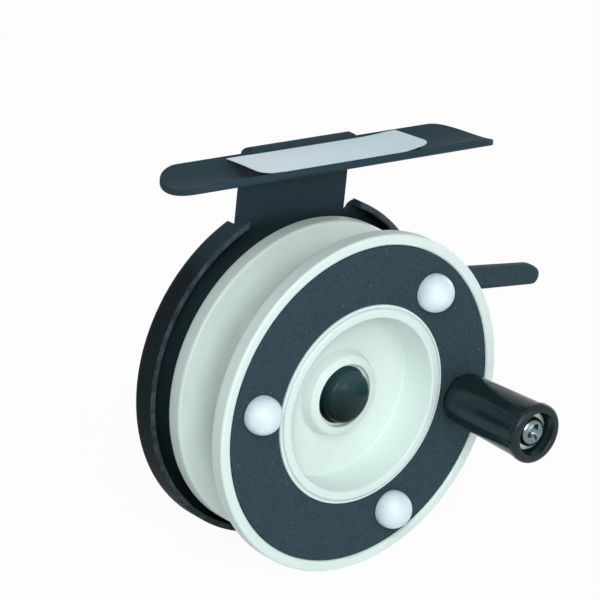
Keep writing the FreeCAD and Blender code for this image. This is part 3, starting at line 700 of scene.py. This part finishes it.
def foam():
    """Black closed-cell foam."""
    look = Nodes("foam_look")
    cell = look.cells(size=0.3)
    color = look.blend(look.spread(cell, 0.0, 0.6), foam_dark, foam_light)
    return look.set(Base_Color=color, Roughness=foam_rough, Normal=look.bump(cell, depth=0.06))


def rubber():
    """Black brake rubber, dusty on its skin."""
    look = Nodes("shoe_rubber_look")
    dust = look.spread(look.noise(size=0.8, detail=5.0), 0.45, 0.75)
    color = look.blend(dust, rubber_color, rubber_dust)
    skin = look.bump(look.noise(size=0.3), depth=0.02)
    return look.set(Base_Color=color, Roughness=rubber_rough, Normal=skin)


def acetal():
    """Natural acetal of the bushings."""
    look = Nodes("bushing_look")
    color = look.blend(look.noise(size=1.5), acetal_color, acetal_shade)
    skin = look.bump(look.noise(size=0.2), depth=0.004)
    return look.set(Base_Color=color, Roughness=acetal_rough, Normal=skin)


steel_look = metal("steel_look", steel_color, steel_rough, steel_marks)
label_look = label_film()
foam_look = foam()

looks = {
    "powder_coat": powder_coat("powder_coat_look", on_frame=False),
    "label_film": label_look,
    "foam": foam_look,
    "steel": steel_look,
    "plated_steel": metal("nickel_look", nickel_color, nickel_rough, nickel_marks),
    "spring_steel": steel_look,
    "black_plastic": black_plastic("black_plastic_look", knob_gloss, knob_rough),
    "spool_plastic": spool_plastic(),
    "white_plastic": white_plastic(),
    "bushing_plastic": acetal(),
    "shoe_rubber": rubber(),
}
node_looks = {
    "frame": powder_coat("frame_powder_coat_look", on_frame=True),
    "hub_cap": black_plastic("hub_cap_look", cap_gloss, cap_rough, painted_reflection=True),
    "knob_washer": metal("knob_washer_look", zinc_color, washer_rough, steel_marks),
}
for name, node in nodes.items():
    node.data.materials.clear()
    node.data.materials.append(node_looks.get(name, looks[slot_of(name)]))

# Label pieces

label_film_piece(label_look)
foam_and_shade_strip(foam_look)


# Floor, light and camera

def stage_floor():
    """Pale floor that stays white to the camera and keeps the object's soft shadow."""
    look = Nodes("floor_look")
    look.set(Base_Color=floor_color, Roughness=floor_roughness)
    glow = look.tree.nodes.new("ShaderNodeEmission")
    look.join(white, glow.inputs["Color"])
    mix = look.tree.nodes.new("ShaderNodeMixShader")
    look.join(look.product(direct_rays(look.tree), floor_white_share), mix.inputs["Fac"])
    look.join(look.shader.outputs["BSDF"], mix.inputs[1])
    look.join(glow.outputs["Emission"], mix.inputs[2])
    look.join(mix.outputs["Shader"], look.output.inputs["Surface"])
    height = cad_low.z - floor_drop * mm
    turns = ((-1, -1), (1, -1), (1, 1), (-1, 1))
    corners = [(x * floor_reach, y * floor_reach, height) for x, y in turns]
    mesh = bpy.data.meshes.new("floor")
    mesh.from_pydata(corners, [], [(0, 1, 2, 3)])
    floor = link("floor", mesh)
    floor.data.materials.append(look.material)


def world_light():
    """White surroundings for the camera and for reflections, and a softer light on surfaces."""
    world = bpy.data.worlds.new("studio")
    bpy.context.scene.world = world
    world.use_nodes = True
    tree = world.node_tree
    tree.nodes.clear()
    soft = tree.nodes.new("ShaderNodeBackground")
    soft.inputs["Color"].default_value = (*world_color, 1.0)
    soft.inputs["Strength"].default_value = world_strength
    bright = tree.nodes.new("ShaderNodeBackground")
    bright.inputs["Color"].default_value = (*white, 1.0)
    mix = tree.nodes.new("ShaderNodeMixShader")
    output = tree.nodes.new("ShaderNodeOutputWorld")
    tree.links.new(direct_rays(tree), mix.inputs["Fac"])
    tree.links.new(soft.outputs[0], mix.inputs[1])
    tree.links.new(bright.outputs[0], mix.inputs[2])
    tree.links.new(mix.outputs[0], output.inputs["Surface"])


def softbox(name, place, size, power):
    """Square area lamp that looks at the origin."""
    lamp = bpy.data.lights.new(name, "AREA")
    lamp.size = size
    lamp.energy = power
    lamp_object = bpy.data.objects.new(name, lamp)
    bpy.context.scene.collection.objects.link(lamp_object)
    lamp_object.location = place
    lamp_object.rotation_mode = "QUATERNION"
    lamp_object.rotation_quaternion = (-Vector(place)).to_track_quat("-Z", "Y")


def photo_camera():
    """Camera at the photograph's angle, distance and roll."""
    turn = math.radians(camera_azimuth)
    rise = math.radians(camera_elevation)
    level = math.cos(rise)
    backward = Vector((math.sin(turn) * level, -math.cos(turn) * level, math.sin(rise)))
    camera = bpy.data.objects.new("camera", bpy.data.cameras.new("camera"))
    bpy.context.scene.collection.objects.link(camera)
    camera.data.lens = camera_lens
    camera.location = (Vector(camera_aim) + backward * camera_distance) * mm
    facing = (-backward).to_track_quat("-Z", "Y").to_matrix()
    roll = Matrix.Rotation(math.radians(camera_roll), 3, "Z")
    camera.matrix_world = Matrix.Translation(camera.location) @ (facing @ roll).to_4x4()
    camera.data.clip_start = camera_near
    camera.data.clip_end = camera_far
    bpy.context.scene.camera = camera


stage_floor()
world_light()
for lamp_values in lamps:
    softbox(*lamp_values)
photo_camera()
bpy.context.scene.view_settings.view_transform = "Standard"
